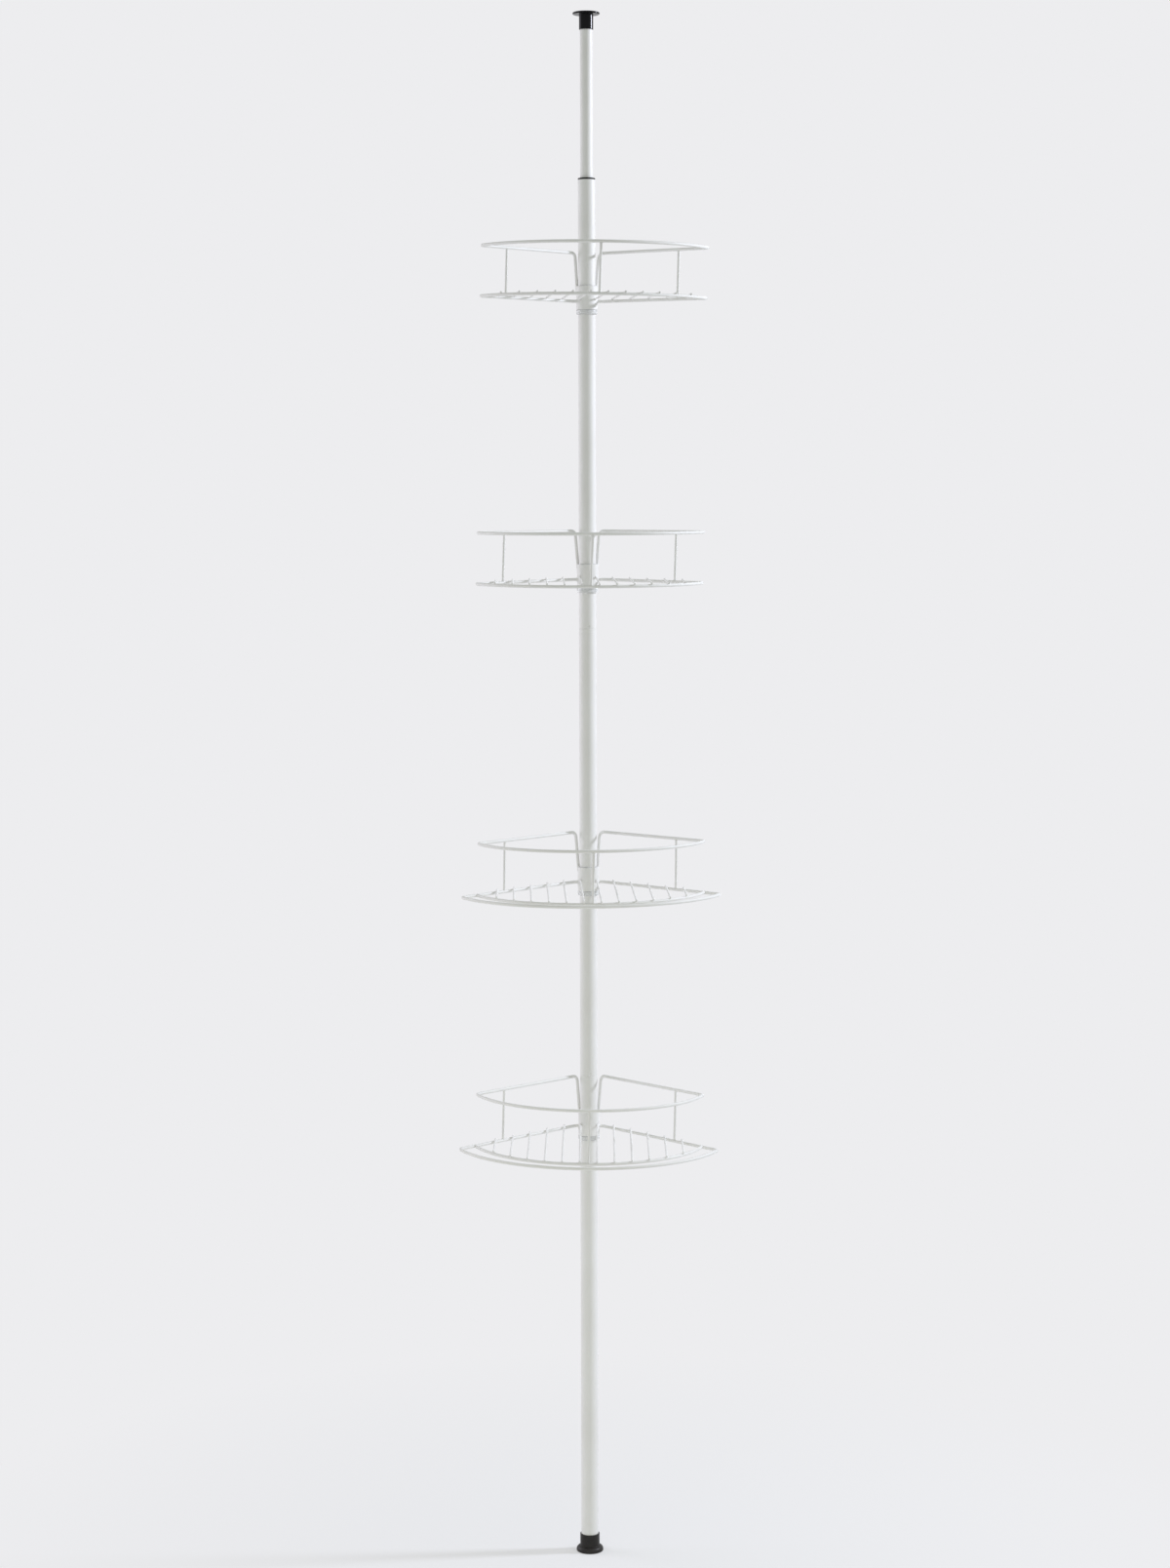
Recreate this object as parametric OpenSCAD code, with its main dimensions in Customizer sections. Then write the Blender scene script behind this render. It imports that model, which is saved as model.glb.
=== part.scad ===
// Tension pole shelf unit: a spring-loaded telescopic pole that is jammed between floor
// and ceiling and carries four quarter-round wire baskets. Each basket is welded to a
// collar that wedges down over a split, tapered grip sleeve on the pole.
// Millimetres, +Z up. The origin is on the floor at the centre of the foot, and the
// fronts of the baskets point towards -Y.

/* [Pole] */
// Outer diameter of the three pole sections
pole_d = 22; // [20:0.5:28]
// Wall of the pole sections
pole_wall = 1; // [0.8:0.1:1.4]
// Cut length of one pole section, with its spigot
section_len = 612; // [480:1:740]
// Length of the swaged spigot that pushes into the section below
spigot_len = 36; // [25:1:60]
// Depth of the crimp dimple that locks each push fit
crimp_depth = 0.6; // [0.3:0.1:0.8]

/* [Telescopic top] */
// Outer diameter of the inner tube
inner_d = 16; // [12:0.5:17]
// Wall of the inner tube
inner_wall = 1; // [0.8:0.1:1.5]
// Bare inner tube between the guide bush and the ceiling pad at full reach
inner_reach = 190; // [160:0.5:260]
// Length of the guide bush inside the upper section
bush_len = 40; // [25:1:60]
// How far the bush flange stands out past the pole
bush_lip = 0.2; // [0:0.1:3]
// Thickness of the bush flange
bush_flange = 2; // [1.5:0.5:5]
// Height of the plug's guide collar below the inner tube
plug_guide = 24; // [15:1:40]
// Length of the plug's stem inside the inner tube
plug_stem = 16; // [10:1:30]

/* [Spring] */
// Wire diameter of the compression spring
spring_wire = 2.2; // [1.6:0.1:2.4]
// Turns of the spring
spring_turns = 42; // [20:1:50]
// Length of the spring at full reach
spring_len = 300; // [250:1:330]
// Radial gap between the spring and the pole's bore
spring_gap = 0.7; // [0.4:0.1:1.5]
// Thickness of the seat that carries the spring
seat_len = 12; // [8:1:20]

/* [Ceiling pad] */
// Diameter of the pressure disc
pad_d = 35; // [30:0.5:60]
// Thickness of the pressure disc
pad_disc = 2.6; // [2:0.1:8]
// Whole height of the pad
pad_h = 22; // [16:0.5:40]
// Wall of the pad's sleeve
pad_wall = 1.1; // [1:0.05:3]

/* [Foot] */
// Diameter of the foot's rim
foot_d = 34.5; // [32:0.5:60]
// Height of the foot's rim
foot_rim = 6.8; // [6:0.1:12]
// Whole height of the foot
foot_h = 22.5; // [16:0.5:40]
// Wall of the foot's sleeve
foot_wall = 1.45; // [1:0.05:3]
// Thickness of the floor under the pole
foot_floor = 4; // [2:0.5:8]

/* [Collar and grip sleeve] */
// Wall of the grip sleeve at its thin upper end
grip_wall = 0.76; // [0.6:0.02:1.5]
// How much thicker the sleeve's lower end is
grip_taper = 0.7; // [0.4:0.05:1.2]
// Width of the slit that lets the sleeve close on the pole
grip_slit = 2; // [1:0.25:4]
// Height of the ring below the collar
grip_ring = 5.8; // [3:0.1:8]
// How far the sleeve shows above the collar
grip_lip = 0.6; // [0:0.1:4]
// Wall of the collar at its thin lower end
collar_wall = 0.94; // [0.8:0.02:2]
// Height of the collar
collar_h = 30.5; // [24:0.5:50]
// Collar's lower edge below the basket's base wires
collar_drop = 11; // [8:0.5:20]

/* [Basket] */
// Wire of the rail and the base frame
frame_wire = 4; // [3:0.25:5]
// Wire of the struts
strut_wire = 3.2; // [2:0.1:4]
// Wire of the cross wires
mesh_wire = 2.5; // [2:0.25:3.5]
// Width of the basket from tip to tip, between wire centres
basket_w = 280; // [230:1:360]
// Depth from the pole's axis to the front arc's wire centre
basket_depth = 226; // [190:1:275]
// Height of the rail above the base, between wire centres
rail_rise = 64; // [50:1:90]
// Bend radius of the tips
tip_r = 9; // [6:0.5:16]
// Bend radius of the base frame next to the collar
bend_r = 6; // [4:0.5:8]
// Length of the base wire's stub beside the collar
stub = 4; // [3:0.5:10]
// How far the legs' upper ends stand out beyond the collar's side
leg_out = 2.3; // [1:0.1:8]
// How far the legs' feet stand round the collar's back, in degrees
leg_turn = 38; // [0:1:45]
// Bend radius between the legs and the rail
leg_bend = 8; // [4:0.5:10]
// How far the legs reach down the collar
leg_weld = 6; // [3:0.5:12]
// Distance between two cross wires
cross_pitch = 21.3; // [14:0.1:30]
// Least distance between the outermost cross wire and the tip bend's centre
cross_clear = 12; // [4:1:30]
// How far the side struts stand outside the middle between the two outermost cross wires
strut_shift = 1.5; // [0:0.5:4]
// Gap between the lower baskets' lip and their inner arc, between wire centres
lip_gap = 24.5; // [12:0.5:40]
// How deep crossing wires sink into each other where they are welded
weld = 0.4; // [0.2:0.05:0.6]

/* [Shelf places] */
// Top basket's base below the upper section's mouth
drop_1 = 155.9; // [100:0.1:260]
// Second basket's base below the first one's
drop_2 = 357.1; // [260:0.1:440]
// Third basket's base below the second one's
drop_3 = 389.6; // [260:0.1:440]
// Lowest basket's base below the third one's
drop_4 = 315.3; // [260:0.1:440]
// Turn of the top basket about the pole, in degrees
turn_1 = 3.9; // [-30:0.1:30]
// Turn of the second basket
turn_2 = 1; // [-30:0.1:30]
// Turn of the third basket
turn_3 = 1.3; // [-30:0.1:30]
// Turn of the lowest basket
turn_4 = -0.3; // [-30:0.1:30]

/* [Shelf truth] */
// Top basket's wires out of level, in degrees: front up, right side up
lean_1 = [-1.6, -0.45]; // [-1.75:0.05:1.75]
// Second basket's wires out of level
lean_2 = [-1, 0.1]; // [-1.75:0.05:1.75]
// Third basket's wires out of level
lean_3 = [0.05, 0.4]; // [-1.75:0.05:1.75]
// Lowest basket's wires out of level
lean_4 = [-0.2, -0.35]; // [-1.75:0.05:1.75]
// How far the top basket's rail stands to the right of its base
shift_1 = 1.1; // [-3:0.1:3]
// The same of the second basket
shift_2 = 2; // [-3:0.1:3]
// The same of the third basket
shift_3 = 1.3; // [-3:0.1:3]
// The same of the lowest basket
shift_4 = 1.3; // [-3:0.1:3]
// How far the top basket's rail stands above its true height: at the front, beside the pole
lift_1 = [-0.8, -2.3]; // [-3:0.1:3]
// The same of the second basket
lift_2 = [-0.1, -1.6]; // [-3:0.1:3]
// The same of the third basket
lift_3 = [0.3, 0.3]; // [-3:0.1:3]
// The same of the lowest basket
lift_4 = [1.1, 0.6]; // [-3:0.1:3]

/* [Fits] */
// Radial gap of parts that slide or turn on each other
run_gap = 0.06; // [0.02:0.01:0.1]
// Radial gap of parts that are pressed or pushed together
press_gap = 0.03; // [0.01:0.01:0.05]
// Gap between faces that turn on each other or stop against each other
face_gap = 0.1; // [0.05:0.05:0.3]

/* [Hidden] */
$fn = 64;

white = [0.93, 0.93, 0.92];
black = [0.06, 0.06, 0.06];
charcoal = [0.16, 0.15, 0.15];
clear = [0.85, 0.87, 0.87, 0.5];
steel = [0.62, 0.63, 0.65];

// Pole: radii, then heights from the floor up
pole_r = pole_d / 2;
bore_r = pole_r - pole_wall;
spigot_r = bore_r - press_gap;
neck_h = 3;
lower_z = foot_floor;
middle_z = lower_z + section_len;
upper_z = middle_z + section_len - spigot_len;
mouth_z = upper_z + section_len - spigot_len;
edge_r = 0.4;
over = 1;
crimp_r = 2.5;
crimp_z = 3;
crimp_turn = 8;

// Telescopic top
inner_r = inner_d / 2;
inner_bore = inner_r - inner_wall;
bush_top = mouth_z + bush_flange;
pad_z = bush_top + inner_reach;
pad_top = pad_z + pad_h;
inner_top = pad_top - pad_disc;
plug_top = mouth_z - bush_len - face_gap;
inner_low = plug_top - plug_guide / 2;
plug_low = plug_top - plug_guide;
spring_top = plug_low - face_gap;
spring_low = spring_top - spring_len;
spring_r = bore_r - spring_gap - spring_wire / 2;
spring_pitch = (spring_len - 3 * spring_wire) / (spring_turns - 2);
spring_steps = 16;
spring_sides = 6;
cup_wall = 1.2;
cup_h = 6;
rim_round = 1.2;
rim_side = 0.8;

// Grip sleeve and collar, measured from the basket's base wires
grip_bore = pole_r + run_gap;
grip_top_r = grip_bore + grip_wall;
grip_low_r = grip_top_r + grip_taper;
collar_r = grip_low_r + run_gap + collar_wall;
collar_top = collar_h - collar_drop;

// Basket plan: the right-hand side wire leaves the corner beside the collar at 45 degrees,
// the tip has radius tip_r, and the front arc is centred on the middle line at arc_y.
// In the plan, y counts forwards from the pole.
wire_r = frame_wire / 2;
mesh_r = mesh_wire / 2;
side_x = collar_r + stub;
leg_x = collar_r + leg_out;
tip_x = basket_w / 2 - tip_r;
tip_y = tip_x - side_x + tip_r * sqrt(2);
reach = basket_depth - tip_r;
arc_y = (reach * reach - tip_x * tip_x - tip_y * tip_y) / (2 * (reach - tip_y));
arc_r = basket_depth - arc_y;
cross_z = wire_r + mesh_r - weld;
end_lap = 1;
bend_lap = 0.3;
bend_thin = 0.04;
wide_arc = 30;
cross_pairs = floor((tip_x - cross_clear) / cross_pitch + 0.5);
strut_x = (cross_pairs - 1) * cross_pitch + strut_shift;

SHELF_Z = [
    mouth_z - drop_1, mouth_z - drop_1 - drop_2, mouth_z - drop_1 - drop_2 - drop_3,
    mouth_z - drop_1 - drop_2 - drop_3 - drop_4
];
SHELF_TURN = [turn_1, turn_2, turn_3, turn_4];
SHELF_LEAN = [lean_1, lean_2, lean_3, lean_4];
RAIL_SHIFT = [shift_1, shift_2, shift_3, shift_4];
RAIL_LIFT = [lift_1, lift_2, lift_3, lift_4];

function unit(v) = v / norm(v);

// Forward distance of the arc of radius r from the pole at the sideways distance x
function arc_front(x, r) = arc_y + sqrt(r * r - x * x);

// Forward distance of the side wires from the pole at the sideways distance x
function side_front(x) = abs(x) - side_x;

// Sideways distance at which the arc of radius r meets the side wire
function arc_meets_side(r) =
    let (k = side_x + arc_y)
    (k + sqrt(2 * r * r - k * k)) / 2;

// Centre of the tip bend that joins the side wire to a front arc of radius r
function tip_centre(r) =
    let (k = tip_r * sqrt(2) - side_x - arc_y, x = (sqrt(2 * pow(r - tip_r, 2) - k * k) - k) / 2)
    [x, x - side_x + tip_r * sqrt(2)];

// Unit vector from the arc's centre through the tip bend's centre
function tip_normal(r) = unit(tip_centre(r) - [0, arc_y]);

// Corner where the side wire's line meets the arc's tangent at its end
function tip_corner(r) =
    let (n = tip_normal(r), x = (r + n.y * (side_x + arc_y)) / (n.x + n.y))
    [x, x - side_x];

// Corners of the front arc, which is bent as three equal arcs that follow each other
function arc_corners(r) =
    let (n = tip_normal(r), third = atan2(n.x, n.y) / 3)
    [for (a = [2, 0, -2]) [0, arc_y] + r / cos(third) * [sin(a * third), cos(a * third)]];

// Plan point to model point, at height z, on the right (s = 1) or the left (s = -1)
function place(p, z, s = 1) = [s * p.x, -p.y, z];

// Profile of a ring or disc between two radii and two heights, with its outer edges rounded
module soft_rim(r0, r1, z0, z1, edge) {
    translate([r0, z0]) square([r1 - edge - r0, z1 - z0]);
    translate([r0, z0 + edge]) square([r1 - r0, z1 - z0 - 2 * edge]);
    for (z = [z0 + edge, z1 - edge]) translate([r1 - edge, z]) circle(edge);
}

// Straight round wire between two points
module straight_wire(a, b, d) {
    run = b - a;
    translate(a)
        rotate([0, acos(run.z / norm(run)), atan2(run.y, run.x)])
            cylinder(h = norm(run), d = d);
}

// Round bend at corner p that turns a wire from direction u to direction v, run on by
// the angle more at both ends
module wire_bend(p, u, v, r, d, more) {
    turn = acos(u * v);
    inward = unit(v - (u * v) * u);
    centre = p - r * tan(turn / 2) * u + r * inward;
    n = cross(-inward, u);
    multmatrix([
        [-inward.x, u.x, n.x, centre.x],
        [-inward.y, u.y, n.y, centre.y],
        [-inward.z, u.z, n.z, centre.z],
        [0, 0, 0, 1]
    ])
        rotate([0, 0, -more])
            rotate_extrude(angle = turn + 2 * more)
                translate([r, 0]) circle(d = d);
}

// One wire of diameter d through the points, with the bend radius of each inner point.
// Straights and wide arcs run on a little over the bends between them, where the wire is
// thinner: these are the tight bends and the arc in the middle of the wire.
module bent_wire(points, radii, d) {
    last = len(points) - 1;
    dirs = [for (i = [0:last - 1]) unit(points[i + 1] - points[i])];
    cuts = [for (i = [0:last]) i == 0 || i == last ? 0 : radii[i] * tan(acos(dirs[i - 1] * dirs[i]) / 2)];
    for (i = [0:last - 1]) {
        a = points[i] + (i == 0 ? 0 : cuts[i] - bend_lap) * dirs[i];
        b = points[i + 1] - (i == last - 1 ? 0 : cuts[i + 1] - bend_lap) * dirs[i];
        if (norm(b - a) > 3 * bend_lap) straight_wire(a, b, d);
    }
    for (i = [1:last - 1])
        if (radii[i] > wide_arc && i != last / 2)
            wire_bend(points[i], dirs[i - 1], dirs[i], radii[i], d, bend_lap / radii[i] * 180 / PI);
        else
            wire_bend(points[i], dirs[i - 1], dirs[i], radii[i], d - bend_thin, 0);
}

// Plain section of the pole, standing in the foot
module lower_tube() color(white) translate([0, 0, lower_z])
    rotate_extrude() soft_rim(bore_r, pole_r, 0, section_len, edge_r);

// Section whose lower end is swaged to a spigot and locked by a crimp dimple.
// Its shoulder is at z = 0.
module spigot_section() color(white) {
    body = section_len - spigot_len;
    difference() {
        rotate_extrude() {
            soft_rim(bore_r, pole_r, 0, body, edge_r);
            translate([spigot_r - pole_wall, -spigot_len]) square([pole_wall, spigot_len + neck_h]);
            translate([spigot_r - pole_wall, 0]) square([pole_r - edge_r - spigot_r + pole_wall, neck_h]);
        }
        rotate([0, 0, crimp_turn])
            translate([0, -(pole_r + crimp_r - crimp_depth), crimp_z]) sphere(crimp_r);
    }
}

module middle_tube() translate([0, 0, middle_z]) spigot_section();

module upper_tube() translate([0, 0, upper_z]) spigot_section();

// Flanged bush in the mouth of the upper section
module guide_bush() color(black) rotate_extrude() {
    soft_rim(inner_r + run_gap, pole_r + bush_lip, mouth_z, bush_top, bush_flange / 4);
    translate([inner_r + run_gap, mouth_z - bush_len])
        square([bore_r - press_gap - inner_r - run_gap, bush_len + bush_flange / 2]);
}

module inner_tube() color(white) difference() {
    translate([0, 0, inner_low]) cylinder(h = inner_top - inner_low, r = inner_r);
    translate([0, 0, inner_low - over]) cylinder(h = inner_top - inner_low + 2 * over, r = inner_bore);
}

// Plug on the inner tube's lower end: a cup round the tube, a stem in it and a flat foot
module spring_plug() color(charcoal) difference() {
    rotate_extrude() {
        translate([0, plug_low]) square([bore_r - run_gap, plug_guide]);
        translate([0, inner_low]) square([inner_bore - press_gap, plug_stem]);
    }
    translate([0, 0, inner_low]) difference() {
        cylinder(h = plug_guide, r = inner_r + press_gap);
        translate([0, 0, -over]) cylinder(h = plug_guide + 2 * over, r = inner_bore - press_gap);
    }
}

// Seat fixed in the upper section, with a hollow underneath
module spring_seat() color(charcoal) translate([0, 0, spring_low - face_gap - seat_len]) difference() {
    cylinder(h = seat_len, r = bore_r - press_gap);
    translate([0, 0, -over]) cylinder(h = seat_len - cup_h + over, r = bore_r - press_gap - cup_wall);
}

// Rise of the spring's wire after t turns: closed end turns, even pitch between them
function spring_rise(t) =
    t < 1 ? t * spring_wire
    : t < spring_turns - 1 ? spring_wire + (t - 1) * spring_pitch
    : spring_wire + (spring_turns - 2) * spring_pitch + (t - spring_turns + 1) * spring_wire;

module tension_spring() color(steel) {
    rings = spring_turns * spring_steps;
    points = [
        for (i = [0:rings], k = [0:spring_sides - 1])
            let (
                a = 360 * i / spring_steps, s = 360 * (k + 0.5) / spring_sides,
                r = spring_r + spring_wire / 2 * cos(s)
            )
            [
                r * cos(a), r * sin(a),
                spring_low + spring_wire / 2 + spring_rise(i / spring_steps) + spring_wire / 2 * sin(s)
            ]
    ];
    walls = [
        for (i = [0:rings - 1], k = [0:spring_sides - 1])
            let (j = (k + 1) % spring_sides, p = i * spring_sides, q = p + spring_sides)
            [p + k, p + j, q + j, q + k]
    ];
    ends = [
        [for (k = [spring_sides - 1:-1:0]) k],
        [for (k = [0:spring_sides - 1]) rings * spring_sides + k]
    ];
    polyhedron(points, concat(walls, ends), convexity = 20);
}

// Pressure disc with rounded rim, and the sleeve that holds the inner tube
module ceiling_pad() color(black) difference() {
    rotate_extrude() {
        soft_rim(0, pad_d / 2, pad_top - pad_disc, pad_top, rim_round);
        translate([0, pad_z]) square([inner_r + press_gap + pad_wall, pad_h - pad_disc / 2]);
    }
    translate([0, 0, pad_z - over]) cylinder(h = inner_top - pad_z + over, r = inner_r + press_gap);
}

// Cup round the pole, with a wide rim whose upper side is a quarter round
module foot_cap() color(charcoal) difference() {
    sleeve_r = pole_r + press_gap + foot_wall;
    round_r = foot_rim - rim_round - rim_side;
    round_x = foot_d / 2 - round_r;
    rotate_extrude() {
        soft_rim(0, foot_d / 2, 0, 2 * rim_round + rim_side, rim_round);
        soft_rim(0, sleeve_r, 0, foot_h, foot_wall / 3);
        intersection() {
            translate([round_x, foot_rim - round_r]) circle(round_r);
            translate([0, rim_round]) square([foot_d, foot_rim]);
        }
        translate([0, rim_round]) square([round_x, foot_rim - rim_round]);
    }
    translate([0, 0, foot_floor]) cylinder(h = foot_h, r = pole_r + press_gap);
}

// Everything of shelf k is drawn about the pole's axis with its base wires at z = 0
module on_shelf(k) translate([0, 0, SHELF_Z[k - 1]]) rotate([0, 0, SHELF_TURN[k - 1]]) children();

// The wires of shelf k are welded to its collar a little out of level
module wires_of(k) on_shelf(k) rotate([-SHELF_LEAN[k - 1].x, -SHELF_LEAN[k - 1].y, 0]) children();

// Collar whose bore is tapered to the sleeve
module collar() color(white) rotate_extrude() polygon([
    [grip_low_r + run_gap, -collar_drop],
    [collar_r, -collar_drop],
    [collar_r, collar_top],
    [grip_top_r + run_gap, collar_top]
]);

// Split sleeve: tapered outside, straight bore, ring below the collar
module grip_sleeve() color(clear) difference() {
    low = -collar_drop - grip_ring;
    high = collar_top + grip_lip;
    rotate_extrude() {
        soft_rim(grip_bore, collar_r, low, -collar_drop - face_gap, rim_round);
        polygon([
            [grip_bore, low + rim_round],
            [grip_low_r, low + rim_round],
            [grip_low_r, -collar_drop],
            [grip_top_r, collar_top],
            [grip_top_r, high],
            [grip_bore, high]
        ]);
    }
    translate([-grip_slit / 2, 0, low - over]) cube([grip_slit, collar_r + over, high - low + 2 * over]);
}

// Point of the rail over the plan point p, on the right (s = 1) or the left (s = -1), where
// lift is how far the rail stands above its true height at the front and beside the pole
function rail_place(p, lift, s = 1) =
    let (rise = (lift.x - lift.y) / basket_depth)
    [s * p.x, -p.y * sqrt(1 - rise * rise), rail_rise + lift.y + p.y * rise];

// Top rail: up one leg from the collar's back, out along the side, round the front and
// back. It stands to the right by shift, and each leg meets it where the side wire is as
// far from the middle as the leg.
module rail(shift, lift) color(white) {
    foot_r = collar_r + wire_r - weld;
    leg_foot = [foot_r * cos(leg_turn), -foot_r * sin(leg_turn)];
    leg_back = side_front(leg_x);
    aside = [shift, 0, 0];
    right = [
        place(leg_foot, collar_top - leg_weld), rail_place([leg_x, leg_back - shift], lift),
        rail_place(tip_corner(arc_r), lift) + aside
    ];
    left = [
        rail_place(tip_corner(arc_r), lift, -1) + aside, rail_place([leg_x, leg_back + shift], lift, -1),
        place(leg_foot, collar_top - leg_weld, -1)
    ];
    bent_wire(
        concat(right, [for (p = arc_corners(arc_r)) rail_place(p, lift) + aside], left),
        [0, leg_bend, tip_r, arc_r, arc_r, arc_r, tip_r, leg_bend, 0],
        frame_wire
    );
}

// Base frame: from one side of the collar round a front arc of radius r to the other side
module base_frame(r) color(white)
    bent_wire(
        [
            place([collar_r - weld, 0], 0), place([side_x, 0], 0), place(tip_corner(r), 0),
            for (p = arc_corners(r)) place(p, 0),
            place(tip_corner(r), 0, -1), place([side_x, 0], 0, -1), place([collar_r - weld, 0], 0, -1)
        ],
        [0, bend_r, tip_r, r, r, r, tip_r, bend_r, 0],
        frame_wire
    );

// Arc that closes the basket of a lipped base frame, welded between its side wires
module inner_arc() color(white) {
    x = arc_meets_side(arc_r);
    half = atan2(x, side_front(x) - arc_y);
    translate([0, -arc_y, 0])
        rotate([0, 0, -90 - half])
            rotate_extrude(angle = 2 * half)
                translate([arc_r, 0]) circle(d = frame_wire);
}

// Three uprights between base and rail, one in front and one on each side wire, with their
// tops where the rail is: shift to the right of their feet
module struts(shift, lift) color(white)
    for (p = [[-strut_x, side_front(strut_x)], [strut_x, side_front(strut_x)], [0, basket_depth]])
        straight_wire(
            place(p, wire_r - weld),
            rail_place(p, lift) + [shift, 0, weld - wire_r],
            strut_wire
        );

// Forward distance at which a cross wire starts: on the collar's front, or just behind
// the side wire
function cross_back(x) =
    let (near = abs(x) - mesh_r, weld_r = collar_r - weld)
    near < weld_r ? sqrt(weld_r * weld_r - near * near)
    : side_front(x) - wire_r * sqrt(2) - end_lap;

// Cross wires on top of the base frame, an equal number left and right
module cross_wires() color(white)
    for (s = [-1, 1], i = [1:cross_pairs]) {
        x = (i - 0.5) * cross_pitch;
        front = arc_front(x, arc_r) + wire_r + end_lap;
        translate([s * x, -front, cross_z])
            rotate([-90, 0, 0]) cylinder(h = front - cross_back(x), d = mesh_wire);
    }

ceiling_pad();
inner_tube();
guide_bush();
spring_plug();
tension_spring();
spring_seat();
upper_tube();
middle_tube();
lower_tube();
foot_cap();

wires_of(1) rail(RAIL_SHIFT[0], RAIL_LIFT[0]);  // rail_1
wires_of(1) struts(RAIL_SHIFT[0], RAIL_LIFT[0]);  // struts_1
wires_of(1) base_frame(arc_r);  // base_frame_1
wires_of(1) cross_wires();  // cross_wires_1
on_shelf(1) collar();  // collar_1
on_shelf(1) grip_sleeve();  // grip_sleeve_1

wires_of(2) rail(RAIL_SHIFT[1], RAIL_LIFT[1]);  // rail_2
wires_of(2) struts(RAIL_SHIFT[1], RAIL_LIFT[1]);  // struts_2
wires_of(2) base_frame(arc_r);  // base_frame_2
wires_of(2) cross_wires();  // cross_wires_2
on_shelf(2) collar();  // collar_2
on_shelf(2) grip_sleeve();  // grip_sleeve_2

wires_of(3) rail(RAIL_SHIFT[2], RAIL_LIFT[2]);  // rail_3
wires_of(3) struts(RAIL_SHIFT[2], RAIL_LIFT[2]);  // struts_3
wires_of(3) base_frame(arc_r + lip_gap);  // base_frame_3
wires_of(3) inner_arc();  // inner_arc_3
wires_of(3) cross_wires();  // cross_wires_3
on_shelf(3) collar();  // collar_3
on_shelf(3) grip_sleeve();  // grip_sleeve_3

wires_of(4) rail(RAIL_SHIFT[3], RAIL_LIFT[3]);  // rail_4
wires_of(4) struts(RAIL_SHIFT[3], RAIL_LIFT[3]);  // struts_4
wires_of(4) base_frame(arc_r + lip_gap);  // base_frame_4
wires_of(4) inner_arc();  // inner_arc_4
wires_of(4) cross_wires();  // cross_wires_4
on_shelf(4) collar();  // collar_4
on_shelf(4) grip_sleeve();  // grip_sleeve_4
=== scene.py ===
import bmesh
import bpy
import numpy as np
from mathutils import Matrix


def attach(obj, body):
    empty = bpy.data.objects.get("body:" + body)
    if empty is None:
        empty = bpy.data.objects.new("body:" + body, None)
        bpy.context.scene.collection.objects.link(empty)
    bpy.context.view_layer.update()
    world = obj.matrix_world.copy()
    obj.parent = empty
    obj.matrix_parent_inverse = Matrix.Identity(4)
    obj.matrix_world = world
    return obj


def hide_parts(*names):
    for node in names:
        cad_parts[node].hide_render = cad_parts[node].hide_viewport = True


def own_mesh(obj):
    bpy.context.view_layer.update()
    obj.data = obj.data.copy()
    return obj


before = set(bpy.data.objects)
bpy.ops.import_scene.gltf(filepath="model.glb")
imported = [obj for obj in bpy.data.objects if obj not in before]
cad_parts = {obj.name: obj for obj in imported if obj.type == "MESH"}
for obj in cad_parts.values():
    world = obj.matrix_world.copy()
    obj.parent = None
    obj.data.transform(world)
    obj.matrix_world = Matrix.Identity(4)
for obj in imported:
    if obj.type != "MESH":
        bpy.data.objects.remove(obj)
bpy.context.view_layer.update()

# ---------------------------------------------------------------------------------------
# Foot: one moulding of charcoal rubber, pushed over the pole's lower end. Its wide rim
# stands on the floor, and the rim's upper side is a quarter round. Lengths are in
# millimetres here and below, and become metres only when a mesh is made.

foot_d = 34.5
foot_rim = 6.8
foot_h = 22.5
foot_floor = 4.0
foot_wall = 1.45
rim_side = 2.1
rim_edge = 1.2
pole_r = 11.0
press_gap = 0.03


def unit(v):
    """Each vector divided by its own length."""
    return v / np.linalg.norm(v, axis=-1, keepdims=True)


def rounded(points, radii, steps=6, hold=0.0):
    """The line through the points with each inner corner turned into an arc of its radius.

    With a and b the directions from a corner to its neighbours and h half the angle between
    them, the arc's centre lies r / sin h away along a + b, and the arc touches both sides
    r / tan h from the corner. It runs from one touching point to the other by the weights
    sin((1 - s) w) / sin w and sin(s w) / sin w, where w is the angle it turns through.
    hold adds a point that far before and after each arc, which keeps flats flat.
    """
    points = np.asarray(points, float)
    steps = np.broadcast_to(steps, len(radii))
    parts = [points[:1]]
    for i in range(1, len(points) - 1):
        corner, r = points[i], radii[i]
        a, b = unit(points[i - 1] - corner), unit(points[i + 1] - corner)
        half = np.arccos(np.clip(a @ b, -1, 1)) / 2
        if r <= 0 or half > np.pi / 2 - 1e-4:
            parts.append(points[i : i + 1])
            continue
        touch, centre = r / np.tan(half), corner + unit(a + b) * r / np.sin(half)
        turn = np.pi - 2 * half
        s = np.linspace(0, 1, int(steps[i]) + 1)[:, None]
        spokes = corner + touch * a - centre, corner + touch * b - centre
        arc = centre + (np.sin((1 - s) * turn) * spokes[0] + np.sin(s * turn) * spokes[1]) / np.sin(turn)
        if hold:
            arc = np.vstack([arc[:1] + hold * a, arc, arc[-1:] + hold * b])
        parts.append(arc)
    return np.vstack(parts + [points[-1:]])


def round_section(corners, radii, steps=5, hold=0.25):
    """A closed outline with rounded corners: the open line round all corners, started and
    ended in the middle of the last side."""
    corners = np.asarray(corners, float)
    start = (corners[0] + corners[-1]) / 2
    steps = [1, *np.broadcast_to(steps, len(radii)), 1]
    return rounded(np.vstack([start, corners, start]), [0, *radii, 0], steps, hold)[:-1]


def evenly(sides):
    """Angles evenly round a circle, from 0 on."""
    return np.linspace(0, 2 * np.pi, sides, endpoint=False)


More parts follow.
